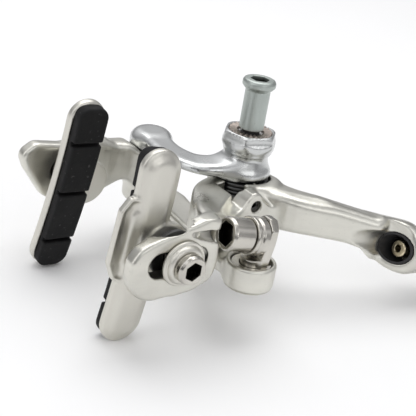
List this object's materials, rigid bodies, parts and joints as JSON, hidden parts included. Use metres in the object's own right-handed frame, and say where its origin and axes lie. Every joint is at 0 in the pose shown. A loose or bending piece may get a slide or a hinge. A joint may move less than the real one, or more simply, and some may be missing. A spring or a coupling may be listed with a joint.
{
  "type": "rim brake caliper",
  "caption": "Dual-pivot side-pull rim brake caliper with cartridge brake pads, a swivelling cable anchor and a threaded cable adjuster.",
  "frame": {"origin": "on the mounting bolt axis, at the seat that meets the fork or the brake bridge", "axes": "+Z along the mounting bolt towards the frame, +X away from the wheel axle, +Y across the wheel to the far pad"},
  "size_m": [0.1137, 0.0733, 0.0579],
  "materials": {
    "polished_alloy": "polished, with faint streaks",
    "satin_alloy": "satin",
    "plated_steel": "bright plated",
    "zinc_steel": "dull zinc",
    "brown_steel": "tarnished",
    "dark_steel": "oiled black",
    "bronze": "sintered",
    "brass": "dull",
    "black_plastic": "matte",
    "pad_rubber": "matte"
  },
  "bodies": {
    "bracket": {"bracket": "polished_alloy", "centre_bolt": "dark_steel", "centre_nut": "plated_steel", "centre_washer": "plated_steel", "sleeve_nut": "zinc_steel", "toothed_washer": "brown_steel", "return_spring": "dark_steel", "side_pivot_bolt": "dark_steel", "side_washer": "black_plastic"},
    "stop_arm": {"stop_arm": "polished_alloy", "centre_bushing": "bronze", "centring_screw": "dark_steel", "barrel_liner": "black_plastic", "knob_ring": "black_plastic"},
    "barrel": {"barrel": "brass"},
    "knob": {"adjuster_knob": "black_plastic"},
    "anchor_arm": {"anchor_arm": "polished_alloy", "side_bushing": "bronze", "cup_cap": "polished_alloy"},
    "swivel": {"swivel_block": "plated_steel", "swivel_washer": "plated_steel"},
    "clamp": {"anchor_bolt": "plated_steel", "clamp_washer": "plated_steel"},
    "near_pad": {"near_holder": "satin_alloy", "near_rubber": "pad_rubber", "near_pad_bolt": "plated_steel", "near_outer_washers": "satin_alloy", "near_inner_washers": "dark_steel"},
    "far_pad": {"far_holder": "satin_alloy", "far_rubber": "pad_rubber", "far_pad_bolt": "plated_steel", "far_outer_washers": "satin_alloy", "far_inner_washers": "dark_steel"}
  },
  "joints": [
    {"name": "stop_arm_pivot", "type": "hinge", "parent": "bracket", "child": "stop_arm", "pos_m": [0, 0, -0.02], "axis": [0, 0, 1], "range_deg": [-9.5, 0], "stiffness_Nm_per_rad": 0.6, "springref_deg": 5.73},
    {"name": "anchor_arm_pivot", "type": "hinge", "parent": "bracket", "child": "anchor_arm", "pos_m": [-0.013, 0.027, -0.02], "axis": [0, 0, 1], "range_deg": [0, 14.3]},
    {"name": "anchor_swivel", "type": "hinge", "parent": "anchor_arm", "child": "swivel", "pos_m": [-0.0165, -0.028, -0.022], "axis": [0, 0, 1], "range_deg": [-28.2, 0]},
    {"name": "cable_clamp", "type": "slide", "parent": "swivel", "child": "clamp", "axis": [-0.9765, 0.0683, 0.2045], "range_m": [0, 0.0015]},
    {"name": "barrel_slide", "type": "slide", "parent": "stop_arm", "child": "barrel", "axis": [0.9765, -0.0683, -0.2045], "range_m": [0, 0.004]},
    {"name": "knob_turn", "type": "hinge", "parent": "stop_arm", "child": "knob", "pos_m": [0.04699, -0.03238, -0.02933], "axis": [0.9765, -0.0683, -0.2045], "range_deg": [0, 1800]},
    {"name": "near_pad_slot", "type": "slide", "parent": "stop_arm", "child": "near_pad", "axis": [1, 0, 0], "range_m": [-0.005, 0.001]},
    {"name": "far_pad_slot", "type": "slide", "parent": "anchor_arm", "child": "far_pad", "axis": [1, 0, 0], "range_m": [-0.0034, 0.001]}
  ],
  "couplings": [
    {"joint": "anchor_arm_pivot", "follows": "stop_arm_pivot", "ratio": -1.49},
    {"joint": "anchor_swivel", "follows": "stop_arm_pivot", "ratio": 2.95},
    {"joint": "knob_turn", "follows": "barrel_slide", "rad_per_m": 7854}
  ]
}
